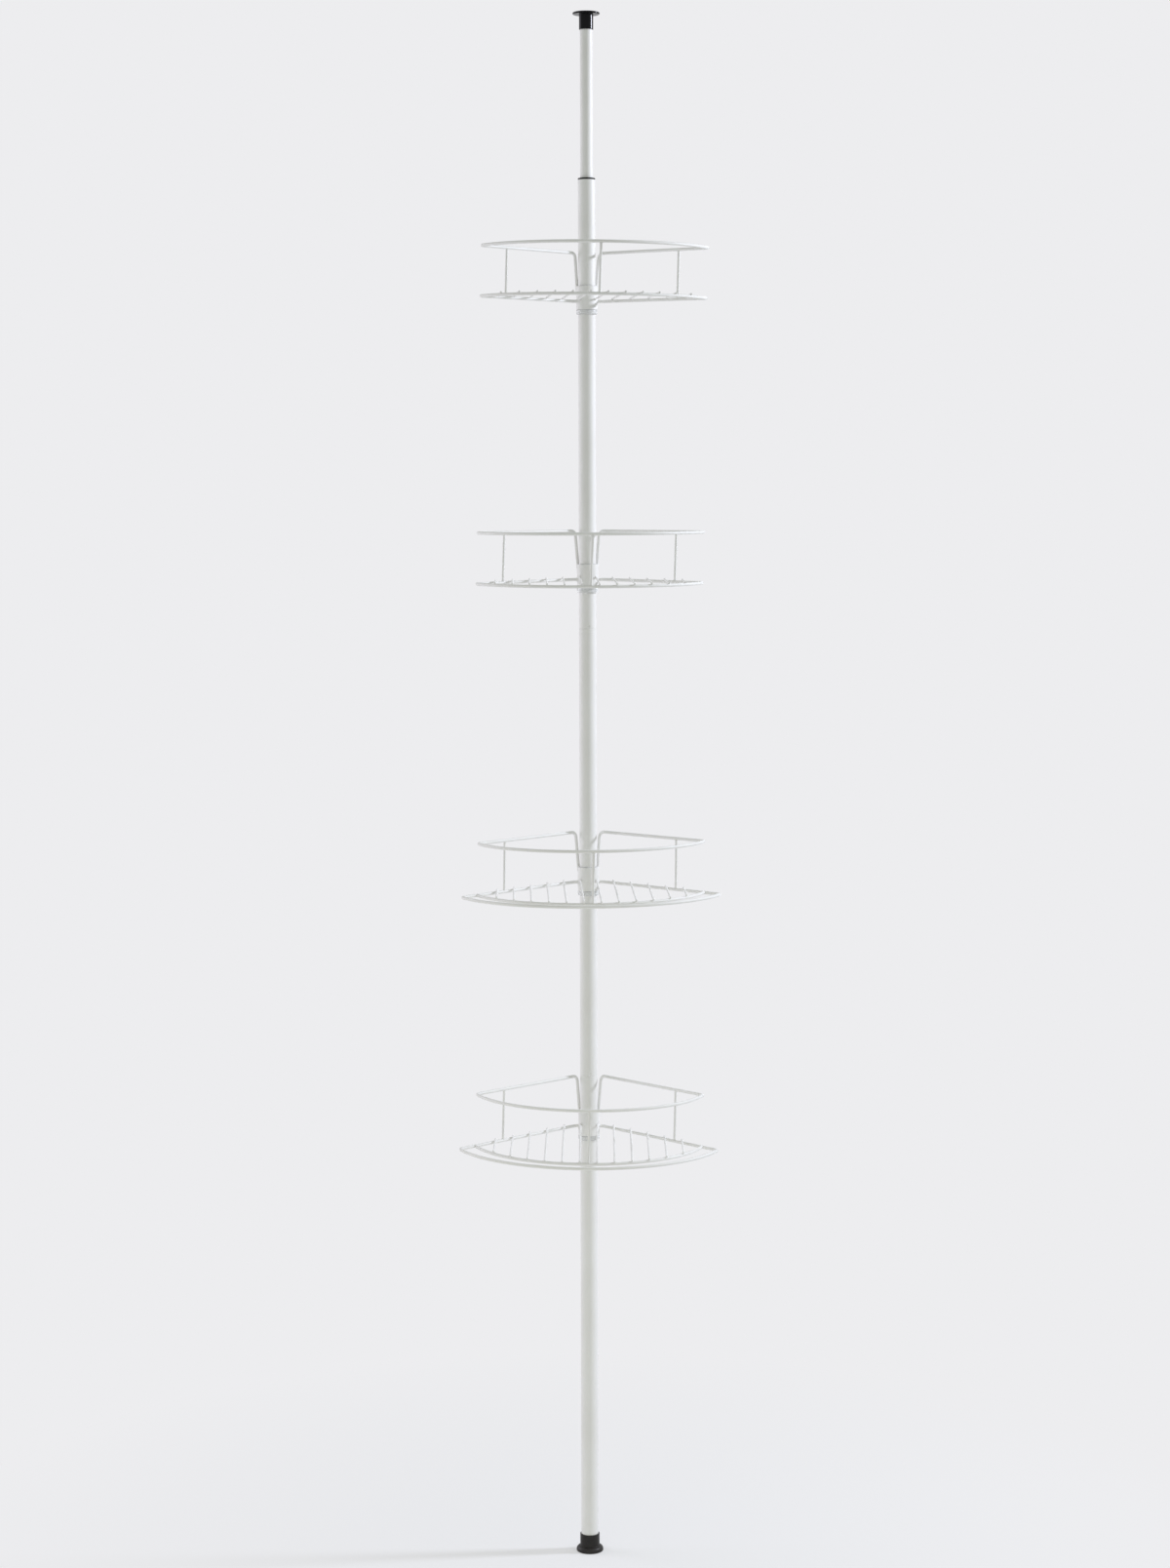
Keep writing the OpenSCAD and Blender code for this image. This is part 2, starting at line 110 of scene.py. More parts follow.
def revolve(section, angles):
    """Sheet of a section turned about the pole's axis: (r cos t, r sin t, z) for every
    section point (r, z) and every angle t."""
    r, z = np.asarray(section, float).T[:, :, None]
    return np.stack([r * np.cos(angles), r * np.sin(angles), z + 0 * angles], -1)


def make_mesh(name, sheets):
    """Mesh object from sheets of points. A sheet is (points, closed): points is a grid of
    rows and columns whose last column meets the first, and closed says that its last row
    meets the first row too. Rows that have shrunk to a point become fans, and an open
    first or last row is filled flat."""
    points, quads, count = [], [], 0
    for grid, closed in sheets:
        rows, cols = grid.shape[:2]
        i, j = np.arange(rows if closed else rows - 1)[:, None], np.arange(cols)[None, :]
        k, n = (i + 1) % rows, (j + 1) % cols
        corners = np.stack([i * cols + j, i * cols + n, k * cols + n, k * cols + j], -1)
        quads.append(count + corners.reshape(-1, 4))
        points.append(grid.reshape(-1, 3))
        count += rows * cols
    points, quads = np.vstack(points) / 1000, np.vstack(quads)
    mesh = bpy.data.meshes.new(name)
    mesh.vertices.add(len(points))
    mesh.vertices.foreach_set("co", points.astype(np.float32).ravel())
    mesh.loops.add(quads.size)
    mesh.loops.foreach_set("vertex_index", quads.astype(np.int32).ravel())
    mesh.polygons.add(len(quads))
    mesh.polygons.foreach_set("loop_start", np.arange(0, quads.size, 4, dtype=np.int32))
    mesh.update(calc_edges=True)
    shell = bmesh.new()
    shell.from_mesh(mesh)
    bmesh.ops.remove_doubles(shell, verts=shell.verts, dist=2e-7)
    bmesh.ops.holes_fill(shell, edges=[edge for edge in shell.edges if edge.is_boundary])
    bmesh.ops.recalc_face_normals(shell, faces=shell.faces)
    shell.to_mesh(mesh)
    shell.free()
    mesh.polygons.foreach_set("use_smooth", np.ones(len(mesh.polygons), bool))
    mesh.set_sharp_from_angle(angle=np.radians(38))
    thing = bpy.data.objects.new(name, mesh)
    bpy.context.scene.collection.objects.link(thing)
    return thing


def fit(thing, finish, slot, body, *nodes):
    """Gives a piece its finish and the body that it moves with, and hides the nodes that it
    stands for. slot is not used."""
    thing.data.materials.clear()
    thing.data.materials.append(finish)
    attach(thing, body)
    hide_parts(*nodes)


def new_finish(name, **sockets):
    """A new finish: its node tree, its shader with the given constant sockets, and the
    object's own coordinates in metres."""
    finish = bpy.data.materials.new(name)
    finish.use_nodes = True
    tree = finish.node_tree
    shader = tree.nodes["Principled BSDF"]
    for socket, value in sockets.items():
        shader.inputs[socket.replace("_", " ")].default_value = value
    place = tree.nodes.new("ShaderNodeTexCoord").outputs["Object"]
    return finish, tree, shader, place


def noise(tree, place, scale, detail=2.0, stretch=(1, 1, 1)):
    """Noise with that many grains to the metre, stretched along the axes."""
    if stretch != (1, 1, 1):
        mapping = tree.nodes.new("ShaderNodeMapping")
        mapping.inputs["Scale"].default_value = stretch
        tree.links.new(place, mapping.inputs["Vector"])
        place = mapping.outputs["Vector"]
    node = tree.nodes.new("ShaderNodeTexNoise")
    node.inputs["Scale"].default_value = scale
    node.inputs["Detail"].default_value = detail
    tree.links.new(place, node.inputs["Vector"])
    return node.outputs["Fac"]


def between(tree, amount, low, high, start=0.35, end=0.65):
    """A number that goes from low to high while amount goes from start to end."""
    node = tree.nodes.new("ShaderNodeMapRange")
    for socket, value in zip(("From Min", "From Max", "To Min", "To Max"), (start, end, low, high)):
        node.inputs[socket].default_value = value
    tree.links.new(amount, node.inputs["Value"])
    return node.outputs["Result"]


def blend_of(tree, amount, first, second):
    """The colour that goes from first to second with amount."""
    node = tree.nodes.new("ShaderNodeMix")
    node.data_type = "RGBA"
    node.inputs[6].default_value = (*first, 1)
    node.inputs[7].default_value = (*second, 1)
    tree.links.new(amount, node.inputs["Factor"])
    return node.outputs[2]


def relief(tree, shader, layers):
    """Bumps laid over each other, each (height, depth in millimetres, strength)."""
    last = None
    for height, depth, strength in layers:
        bump = tree.nodes.new("ShaderNodeBump")
        bump.inputs["Distance"].default_value = depth / 1000
        bump.inputs["Strength"].default_value = strength
        tree.links.new(height, bump.inputs["Height"])
        if last:
            tree.links.new(last, bump.inputs["Normal"])
        last = bump.outputs["Normal"]
    tree.links.new(last, shader.inputs["Normal"])


def rubber_finish():
    """Charcoal rubber: a fine matt grain with paler scuffed patches."""
    finish, tree, shader, place = new_finish("charcoal_rubber", Specular_IOR_Level=0.26)
    wear, grain = noise(tree, place, 160, 4), noise(tree, place, 1600, 3)
    tone = blend_of(tree, between(tree, wear, 0, 1), (0.013, 0.0115, 0.0105), (0.021, 0.0185, 0.017))
    tree.links.new(tone, shader.inputs["Base Color"])
    tree.links.new(between(tree, wear, 0.34, 0.50), shader.inputs["Roughness"])
    relief(tree, shader, [(grain, 0.03, 0.35), (wear, 0.08, 0.3)])
    return finish


cup_r = pole_r + press_gap
sleeve_r = cup_r + foot_wall
rim_round = foot_rim - rim_side
foot_section = rounded(
    [
        (0, 0), (foot_d / 2, 0), (foot_d / 2, foot_rim), (sleeve_r, foot_rim), (sleeve_r, foot_h),
        (cup_r, foot_h), (cup_r, foot_floor), (0, foot_floor),
    ],
    radii=[0, rim_edge, rim_round, 0.7, 0.5, 0.3, 0.3, 0],
    steps=[1, 6, 12, 5, 5, 3, 3, 1],
    hold=0.2,
)
foot = make_mesh("foot", [(revolve(foot_section, evenly(96)), False)])
fit(foot, rubber_finish(), "charcoal_rubber", "pole", "foot_cap")

# ---------------------------------------------------------------------------------------
# Pole: three steel tubes with a white powder coat. The lower ends of the middle and the
# upper tube are swaged to spigots, pushed into the tube below and locked by one crimp
# dimple each. The mouth that takes a spigot carries faint rings from the swaging tool.

section_len = 612.0
spigot_len = 36.0
neck_h = 3.0
pole_wall = 1.0
lower_z = foot_floor
middle_z = lower_z + section_len
upper_z = middle_z + section_len - spigot_len
mouth_z = upper_z + section_len - spigot_len
bore_r = pole_r - pole_wall
tube_edge, bore_edge, edge_clear = 0.4, 0.15, 0.55
crimp_depth, crimp_size, crimp_up, crimp_turn = 0.8, 2.4, 3.0, np.radians(-82)


def powder_coat():
    """White powder coat on steel: an orange-peel skin about a millimetre wide, a few nibs
    of dust under it, and a hardly visible change of warmth and gloss along the metal."""
    finish, tree, shader, place = new_finish("white_powder_coat", Specular_IOR_Level=0.5)
    broad, peel, nibs = noise(tree, place, 9, 3), noise(tree, place, 950, 2), noise(tree, place, 420, 1)
    tone = blend_of(tree, between(tree, broad, 0, 1), (0.790, 0.782, 0.765), (0.835, 0.832, 0.822))
    tree.links.new(tone, shader.inputs["Base Color"])
    tree.links.new(between(tree, noise(tree, place, 60, 3), 0.46, 0.56), shader.inputs["Roughness"])
    specks = between(tree, nibs, 0, 1, 0.74, 0.80)
    relief(tree, shader, [(peel, 0.010, 0.2), (specks, 0.02, 0.3)])
    return finish


def dimpled(sheet, z, turn, radius, depth, size):
    """The sheet pressed in round one point: a point whose distance on the tube's surface
    from it is q moves inwards by depth * (1 - (q / size)^2)^2 while q < size."""
    r = np.hypot(sheet[..., 0], sheet[..., 1])
    t = np.arctan2(sheet[..., 1], sheet[..., 0])
    q = np.hypot(radius * np.angle(np.exp(1j * (t - turn))), sheet[..., 2] - z) / size
    push = np.where(r > radius - pole_wall / 2, depth * np.clip(1 - q * q, 0, None) ** 2, 0)
    shrink = (r - push) / r
    return np.stack([sheet[..., 0] * shrink, sheet[..., 1] * shrink, sheet[..., 2]], -1)


def crowded(turn, columns=128):
    """Angles round the tube that lie close together near one side: for t from -1 to 1,
    turn + pi (0.3 t + 0.7 t^3)."""
    t = np.linspace(-1, 1, columns, endpoint=False)
    return turn + np.pi * (0.3 * t + 0.7 * t**3)


def ringed(section, top, rings):
    """The section's outer wall with faint rings: at each distance below the top it stands
    out by height * exp(-(distance / width)^2)."""
    section = np.array(section)
    outer = section[:, 0] > pole_r - 0.01
    for down, height, width in rings:
        section[outer, 0] += height * np.exp(-(((top - down) - section[outer, 1]) / width) ** 2)
    return section


def tube_section(z, top, rows, spigot):
    """Closed section of one tube from its shoulder at z to its mouth at top: up the outer
    wall with a point at each of the rows, round the mouth, down the bore and, with a
    spigot, round its end and back to the shoulder."""
    mouth = [(pole_r, top - 1), (pole_r, top), (bore_r, top), (bore_r, top - 1)]
    fillet = rounded(mouth, [0, tube_edge, bore_edge, 0], 5)
    rows = rows[(rows > z + edge_clear) & (rows < top - edge_clear)]
    wall = np.stack([0 * rows + pole_r, rows], -1)
    if not spigot:
        cut = [(bore_r, z + 1), (bore_r, z), (pole_r, z), (pole_r, z + 1)]
        return np.vstack([wall, fillet[1:], rounded(cut, [0, bore_edge, tube_edge, 0], 5)[:-1]])
    r = bore_r - press_gap
    inner = rounded(
        [
            (bore_r, z + neck_h), (r - pole_wall, z + neck_h), (r - pole_wall, z - spigot_len),
            (r, z - spigot_len), (r, z), (pole_r, z), (pole_r, z + 1),
        ],
        [0, 0, 0.2, 0.3, 0, tube_edge, 0],
        5,
    )
    return np.vstack([wall, fillet[1:], inner[:-1]])


coat = powder_coat()
mouth_rings = [(1.6, 0.10, 0.5), (5.2, 0.12, 0.6), (7.6, 0.10, 0.5)]
near_mouth = np.arange(-10, 0, 0.3)
near_crimp = np.arange(0.6, 8, 0.3)
long_rows = np.arange(20, section_len - 40, 24)
tubes = [("lower_tube", lower_z, False), ("middle_tube", middle_z, True), ("upper_tube", upper_z, True)]
for name, z, spigot in tubes:
    top = z + section_len - (spigot_len if spigot else 0)
    rows = np.concatenate([z + near_crimp, z + long_rows, top + near_mouth])
    section = tube_section(z, top, rows, spigot)
    if name != "upper_tube":
        section = ringed(section, top, mouth_rings)
    sheet = revolve(section, crowded(crimp_turn))
    if spigot:
        sheet = dimpled(sheet, z + crimp_up, crimp_turn, pole_r, crimp_depth, crimp_size)
    fit(make_mesh(name + "_coated", [(sheet, True)]), coat, "white_powder_coat", "pole", name)

# ---------------------------------------------------------------------------------------
# Inside the upper tube: a moulded seat pressed into the bore, the compression spring that
# stands on it, and the plug on the inner tube's lower end that the spring pushes up.

inner_r = 8.0
inner_bore = 7.0
bush_len = 40.0
face_gap = 0.1
plug_h = 24.0
plug_top = mouth_z - bush_len - face_gap
spring_top = plug_top - plug_h - face_gap
spring_len = 300.0
spring_low = spring_top - spring_len
spring_wire = 2.2
spring_turns = 42
spring_gap = 0.7
spring_r = bore_r - spring_gap - spring_wire / 2


def plain_plastic():
    """Charcoal nylon: a dry, even moulding with a fine grain."""
    finish, tree, shader, place = new_finish("charcoal_plastic", Specular_IOR_Level=0.5)
    cloud, grain = noise(tree, place, 220, 3), noise(tree, place, 2200, 2)
    tone = blend_of(tree, between(tree, cloud, 0, 1), (0.040, 0.040, 0.041), (0.060, 0.060, 0.061))
    tree.links.new(tone, shader.inputs["Base Color"])
    tree.links.new(between(tree, cloud, 0.45, 0.60), shader.inputs["Roughness"])
    relief(tree, shader, [(grain, 0.02, 0.4)])
    return finish


def spring_steel():
    """Drawn spring wire: grey steel with fine streaks and a thin, uneven film of oil."""
    finish, tree, shader, place = new_finish("spring_steel", Metallic=1.0)
    streak, film = noise(tree, place, 500, 3, (1, 1, 4)), noise(tree, place, 90, 2)
    tone = blend_of(tree, between(tree, film, 0, 1), (0.40, 0.39, 0.37), (0.52, 0.52, 0.53))
    tree.links.new(tone, shader.inputs["Base Color"])
    tree.links.new(between(tree, streak, 0.22, 0.40), shader.inputs["Roughness"])
    relief(tree, shader, [(streak, 0.02, 0.3)])
    return finish


def sweep(path, radius, sides=12, domes=(0.5, 0.5), up=(0, 0, 1)):
    """Round wire along a path: radius (cos a * side + sin a * rise) about every path point,
    where side is square to the path and to up, and rise is square to both. Each end is a
    dome: its rings shrink with cos b and move on by the dome's height times sin b."""
    path = np.asarray(path, float)
    radius = np.broadcast_to(radius, len(path)).astype(float)
    along = unit(np.gradient(path, axis=0))
    b = np.linspace(np.pi / 2, 0, 5)[:-1, None]
    first = path[0] - along[0] * domes[0] * radius[0] * np.sin(b)
    last = path[-1] + along[-1] * domes[1] * radius[-1] * np.sin(b[::-1])
    shrink = np.cos(b[:, 0])
    centre = np.vstack([first, path, last])
    along = np.vstack([np.repeat(along[:1], len(b), 0), along, np.repeat(along[-1:], len(b), 0)])
    radius = np.concatenate([radius[0] * shrink, radius, radius[-1] * shrink[::-1]])
    side = unit(np.cross(along, up))
    rise = np.cross(side, along)
    a = evenly(sides)[None, :, None]
    ring = np.cos(a) * side[:, None] + np.sin(a) * rise[:, None]
    return centre[:, None] + radius[:, None, None] * ring


nylon, steel = plain_plastic(), spring_steel()
for name in ("spring_plug", "spring_seat"):
    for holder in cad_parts[name].material_slots:
        holder.material = nylon

# The wire climbs one wire thickness in the closed turns at both ends, and evenly between them.
turn = np.linspace(0, spring_turns, spring_turns * 28 + 1)
pitch = (spring_len - 3 * spring_wire) / (spring_turns - 2)
climb = spring_low + spring_wire / 2 + np.interp(
    turn,
    [0, 1, spring_turns - 1, spring_turns],
    np.cumsum([0, spring_wire, (spring_turns - 2) * pitch, spring_wire]),
)
coil = np.stack([spring_r * np.cos(2 * np.pi * turn), spring_r * np.sin(2 * np.pi * turn), climb], -1)
spring = make_mesh("coiled_spring", [(sweep(coil, spring_wire / 2, 10), False)])
fit(spring, steel, "spring_steel", "pole", "tension_spring")
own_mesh(spring)

# ---------------------------------------------------------------------------------------
# Telescopic top: a glossy black bush in the upper tube's mouth, the thin white tube that
# slides in it, and the black pressure cap that meets the ceiling.

bush_flange = 2.0
bush_lip = 0.2
inner_reach = 190.0
pad_d = 35.0
pad_disc = 2.6
pad_h = 22.0
pad_wall = 1.1
run_gap = 0.06
bush_top = mouth_z + bush_flange
pad_z = bush_top + inner_reach
pad_top = pad_z + pad_h
inner_top = pad_top - pad_disc
inner_low = plug_top - plug_h / 2


def glossy_black():
    """Glossy black moulding: near mirror-smooth, with a faint flow pattern and a few fine
    rubbed patches."""
    finish, tree, shader, place = new_finish("black_gloss_plastic", Specular_IOR_Level=0.11)
    flow, rub = noise(tree, place, 45, 3, (1, 1, 0.3)), noise(tree, place, 500, 4)
    tone = blend_of(tree, between(tree, flow, 0, 1), (0.003, 0.003, 0.0035), (0.006, 0.006, 0.0065))
    tree.links.new(tone, shader.inputs["Base Color"])
    tree.links.new(between(tree, rub, 0.10, 0.16, 0.45, 0.75), shader.inputs["Roughness"])
    relief(tree, shader, [(flow, 0.02, 0.05), (rub, 0.002, 0.1)])
    return finish


gloss = glossy_black()
bush_r = bore_r - press_gap
bush_section = round_section(
    [
        (inner_r + run_gap, bush_top), (inner_r + run_gap, mouth_z - bush_len), (bush_r, mouth_z - bush_len),
        (bush_r, mouth_z), (pole_r + bush_lip, mouth_z), (pole_r + bush_lip, bush_top),
    ],
    [0.3, 0.4, 0.4, 0.1, 0.35, 0.6],
    [4, 4, 4, 2, 5, 6],
)
bush = make_mesh("bush", [(revolve(bush_section, evenly(96)), True)])
fit(bush, gloss, "black_gloss_plastic", "pole", "guide_bush")

rod_section = round_section(
    [(inner_bore, inner_top), (inner_bore, inner_low), (inner_r, inner_low), (inner_r, inner_top)],
    [0.2, 0.2, 0.3, 0.3],
)
rod = make_mesh("inner_tube_coated", [(revolve(rod_section, evenly(96)), True)])
fit(rod, coat, "white_powder_coat", "top_rod", "inner_tube")

socket_r = inner_r + press_gap
cap_r = socket_r + pad_wall
cap_section = rounded(
    [
        (0, inner_top), (socket_r, inner_top), (socket_r, pad_z), (cap_r, pad_z),
        (cap_r, inner_top), (pad_d / 2, inner_top), (pad_d / 2, pad_top), (0, pad_top),
    ],
    radii=[0, 0.2, 0.3, 0.45, 0.8, 1.1, 1.1, 0],
    steps=[1, 3, 3, 5, 6, 8, 8, 1],
    hold=0.2,
)
cap = make_mesh("ceiling_cap", [(revolve(cap_section, evenly(112)), False)])
fit(cap, gloss, "black_gloss_plastic", "top_rod", "ceiling_pad")

# ---------------------------------------------------------------------------------------
# Grip sleeves: clear split plastic, one under each basket's collar. Straight inside and
# tapered outside, so that the collar wedges down on it; the ring below the collar is as
# wide as the collar, and a short lip shows above it.

grip_wall, grip_taper = 0.76, 0.7
collar_wall, collar_h, collar_drop = 0.94, 30.5, 11.0
grip_bore = pole_r + run_gap
grip_top_r = grip_bore + grip_wall
grip_low_r = grip_top_r + grip_taper
collar_r = grip_low_r + run_gap + collar_wall
collar_top = collar_h - collar_drop
grip_ring = 5.8
grip_lip = 0.6
grip_slit = 2.0
shelf_z = [1612.1, 1255.0, 865.4, 550.1]
shelf_turn = [3.9, 1.0, 1.3, -0.3]
shelf_lean = [(-1.6, -0.45), (-1.0, 0.1), (0.05, 0.4), (-0.2, -0.35)]
rail_shift = [1.1, 2.0, 1.3, 1.3]
rail_lift = [(-0.8, -2.3), (-0.1, -1.6), (0.3, 0.3), (1.1, 0.6)]
shelves = range(len(shelf_z))


def turning(axis, degrees):
    """Matrix of a turn about X (0), Y (1) or Z (2)."""
    c, s = np.cos(np.radians(degrees)), np.sin(np.radians(degrees))
    matrix = np.eye(3)
    i, j = [(1, 2), (2, 0), (0, 1)][axis]
    matrix[[i, i, j, j], [i, j, i, j]] = c, -s, s, c
    return matrix


def on_shelf(points, k, leaning=True):
    """Points of a basket, drawn about the pole with its base wires at z = 0, put in shelf
    k's place: leant about X and Y, turned about the pole and lifted."""
    lean = turning(1, -shelf_lean[k][1]) @ turning(0, -shelf_lean[k][0]) if leaning else np.eye(3)
    return points @ (turning(2, shelf_turn[k]) @ lean).T + [0, 0, shelf_z[k]]


def clear_plastic():
    """Clear moulding, faintly milky, with a soft skin where it has been handled."""
    finish, tree, shader, place = new_finish(
        "clear_plastic", Transmission_Weight=0.42, IOR=1.45, Specular_IOR_Level=0.5
    )
    cloud, skin = noise(tree, place, 130, 3), noise(tree, place, 900, 2)
    tone = blend_of(tree, between(tree, cloud, 0, 1), (0.93, 0.94, 0.94), (0.97, 0.98, 0.98))
    tree.links.new(tone, shader.inputs["Base Color"])
    tree.links.new(between(tree, cloud, 0.10, 0.24), shader.inputs["Roughness"])
    relief(tree, shader, [(skin, 0.02, 0.4)])
    return finish


def split_sleeve():
    """Sleeve with a slit at the back: its section, carried round from one side of the slit
    to the other. Both cut faces are flat."""
    low, high = -collar_drop - grip_ring, collar_top + grip_lip
    ring_top = -collar_drop - face_gap
    section = round_section(
        [
            (grip_bore, low), (collar_r, low), (collar_r, ring_top), (grip_low_r, ring_top),
            (grip_low_r, -collar_drop), (grip_top_r, collar_top), (grip_top_r, high), (grip_bore, high),
        ],
        [0.3, 1.2, 0.8, 0.1, 0, 0, 0.2, 0.2],
        [3, 8, 6, 2, 1, 1, 3, 3],
    )
    half = np.arcsin(grip_slit / 2 / grip_bore)
    around = np.pi / 2 + np.linspace(half, 2 * np.pi - half, 120)
    return np.swapaxes(revolve(section, around), 0, 1)


clear = clear_plastic()
for k in shelves:
    sleeve = make_mesh(f"clear_sleeve_{k + 1}", [(on_shelf(split_sleeve(), k, False), False)])
    fit(sleeve, clear, "clear_plastic", f"grip_{k + 1}", f"grip_sleeve_{k + 1}")

# ---------------------------------------------------------------------------------------
# Collars: short steel tubes with a bore tapered to the sleeve. The basket's legs and base
# wires are welded to them, and both are powder-coated together.

collar_section = round_section(
    [
        (grip_low_r + run_gap, -collar_drop), (collar_r, -collar_drop), (collar_r, collar_top),
        (grip_top_r + run_gap, collar_top),
    ],
    [0.2, 0.35, 0.45, 0.4],
    [3, 5, 6, 5],
)
for k in shelves:
    sheet = on_shelf(revolve(collar_section, evenly(112)), k, False)
    collar = make_mesh(f"collar_{k + 1}_coated", [(sheet, True)])
    fit(collar, coat, "white_powder_coat", f"basket_{k + 1}", f"collar_{k + 1}")

# ---------------------------------------------------------------------------------------
# Base frames: one bent wire each, from one side of the collar out at 45 degrees, round
# the tip and along the front arc to the other side. The two lower baskets' arc stands
# further out as a lip, and a second arc closes the basket itself.

wire_r = 2.0
mesh_r = 1.25
basket_w, basket_depth = 280.0, 226.0
rail_rise = 64.0
tip_r, bend_r, stub = 9.0, 6.0, 4.0
weld = 0.4
lip_gap, lipped = 24.5, (2, 3)
base_swell, arc_swell = (0.7, 0.9), (0.3, 2.5)
side_x = collar_r + stub
tip_x = basket_w / 2 - tip_r
tip_y = tip_x - side_x + tip_r * np.sqrt(2)
reach = basket_depth - tip_r
arc_y = (reach**2 - tip_x**2 - tip_y**2) / (2 * (reach - tip_y))
arc_r = basket_depth - arc_y


def tip_centre(r):
    """Centre of the tip bend that touches the side wire's line v = u - side_x and, from
    inside, the front arc of radius r: it lies r - tip_r from the arc's centre."""
    k = tip_r * np.sqrt(2) - side_x - arc_y
    u = (np.sqrt(2 * (r - tip_r) ** 2 - k * k) - k) / 2
    return np.array([u, u - side_x + tip_r * np.sqrt(2)])


def front_corners(r):
    """The plan's corners from the right side wire round the front to the left: the corner
    at the tip, three corners of the front arc, which is bent as three equal arcs, and the
    other tip."""
    normal = unit(tip_centre(r) - [0, arc_y])
    u = (r + normal[1] * (side_x + arc_y)) / normal.sum()
    third = np.arctan2(*normal) / 3
    a = np.array([2, 0, -2]) * third
    arc = np.stack([np.sin(a), np.cos(a)], -1) * r / np.cos(third) + [0, arc_y]
    return np.vstack([[u, u - side_x], arc, [-u, u - side_x]])


def placed(plan, z):
    """Plan points (sideways, forwards) at height z as points of the basket."""
    plan = np.atleast_2d(plan)
    return np.stack([plan[:, 0], -plan[:, 1], np.full(len(plan), float(z))], -1)


def fine_line(path, step, ends=()):
    """The path with extra points, and the length run up to each: no two neighbours are
    further apart than step, and there is a point at each of the distances ends from both
    ends."""
    run = np.linalg.norm(np.diff(path, axis=0), axis=1)
    s = np.concatenate([[0], np.cumsum(run)])
    parts = [np.linspace(a, b, int(np.ceil((b - a) / step)) + 1) for a, b in zip(s[:-1], s[1:]) if b > a]
    t = np.unique(np.concatenate([*parts, ends, s[-1] - np.array(ends)]).round(2))
    t[-1] = s[-1]
    return np.stack([np.interp(t, s, path[:, i]) for i in range(3)], -1), t


def swollen(radius, t, places):
    """Wire radius along its length t, thickened where it is welded: radius + height *
    exp(-(distance / width)^2) for each (place, height, width)."""
    r = np.full(len(t), radius)
    for place, height, width in places:
        r += height * np.exp(-(((t - place) / width) ** 2))
    return r


def base_wire(r):
    """Sheet of a base frame's wire with a front arc of radius r, thickened where it is
    welded to the collar."""
    root = collar_r - weld
    points = np.vstack([
        placed([root, 0], 0), placed([side_x, 0], 0), placed(front_corners(r), 0),
        placed([-side_x, 0], 0), placed([-root, 0], 0),
    ])
    path = rounded(points, [0, bend_r, tip_r, r, r, r, tip_r, bend_r, 0], [1, 8, 16, 24, 24, 24, 16, 8, 1])
    path, t = fine_line(path, 6, (0.3, 0.6, 1.0, 1.5, 2.1))
    return sweep(path, swollen(wire_r, t, [(0, *base_swell), (t[-1], *base_swell)]), 16, (0, 0))


for k in shelves:
    sheet = on_shelf(base_wire(arc_r + (lip_gap if k in lipped else 0)), k)
    base = make_mesh(f"base_wire_{k + 1}", [(sheet, False)])
    fit(base, coat, "white_powder_coat", f"basket_{k + 1}", f"base_frame_{k + 1}")

# The inner arc ends where it meets the centre lines of the side wires, v = u - side_x.
meet = side_x + arc_y
meet_x = (meet + np.sqrt(2 * arc_r**2 - meet**2)) / 2
half_arc = np.arctan2(meet_x, meet_x - side_x - arc_y)
for k in lipped:
    a = np.linspace(half_arc, -half_arc, 73)
    plan = np.stack([arc_r * np.sin(a), arc_y + arc_r * np.cos(a)], -1)
    t = arc_r * (half_arc - a)
    thick = swollen(wire_r, t, [(0, *arc_swell), (t[-1], *arc_swell)])
    sheet = on_shelf(sweep(placed(plan, 0), thick, 16), k)
    arc = make_mesh(f"inner_arc_{k + 1}_coated", [(sheet, False)])
    fit(arc, coat, "white_powder_coat", f"basket_{k + 1}", f"inner_arc_{k + 1}")

# ---------------------------------------------------------------------------------------
# Cross wires: twelve straight thin wires on top of each base frame, resistance-welded to
# the side wires and the front arc. The two in the middle start on the collar.

cross_pitch = 21.3
cross_pairs = 6
cross_z = wire_r + mesh_r - weld
end_lap = 1.0
root_swell, side_swell, front_swell = (0.5, 0.8), (0.16, 1.9), (0.16, 1.5)


def cross_wire(x):
    """Sheet of the cross wire at the sideways distance x, thickened where it crosses the
    frame wires and where it starts on the collar."""
    root = collar_r - weld
    near = abs(x) - mesh_r
    rear, arc = abs(x) - side_x, arc_y + np.sqrt(arc_r**2 - x * x)
    back = np.sqrt(root**2 - near**2) if near < root else rear - wire_r * np.sqrt(2) - end_lap
    front = arc + wire_r + end_lap
    welds = [(arc, *front_swell), (back, *root_swell) if near < root else (rear, *side_swell)]
    about = np.arange(-4.5, 4.6, 0.75)
    v = np.concatenate([[back, front], np.arange(back, front, 14), *[place + about for place, _, _ in welds]])
    v = np.unique(v[(v >= back) & (v <= front)].round(4))
    return sweep(placed(np.stack([0 * v + x, v], -1), cross_z), swollen(mesh_r, v, welds), 12, (0.45, 0.45))


spread = (np.arange(cross_pairs) + 0.5) * cross_pitch
for k in shelves:
    wires = [(on_shelf(cross_wire(x), k), False) for x in np.concatenate([-spread[::-1], spread])]
    grid = make_mesh(f"cross_wires_{k + 1}_coated", wires)
    fit(grid, coat, "white_powder_coat", f"basket_{k + 1}", f"cross_wires_{k + 1}")

# ---------------------------------------------------------------------------------------
# Struts and rails: three thin uprights butt-welded between the base and the rail, and the
# rail itself, one bent wire whose two legs run down and inwards to the collar's back,
# where a bead of weld holds each of them.

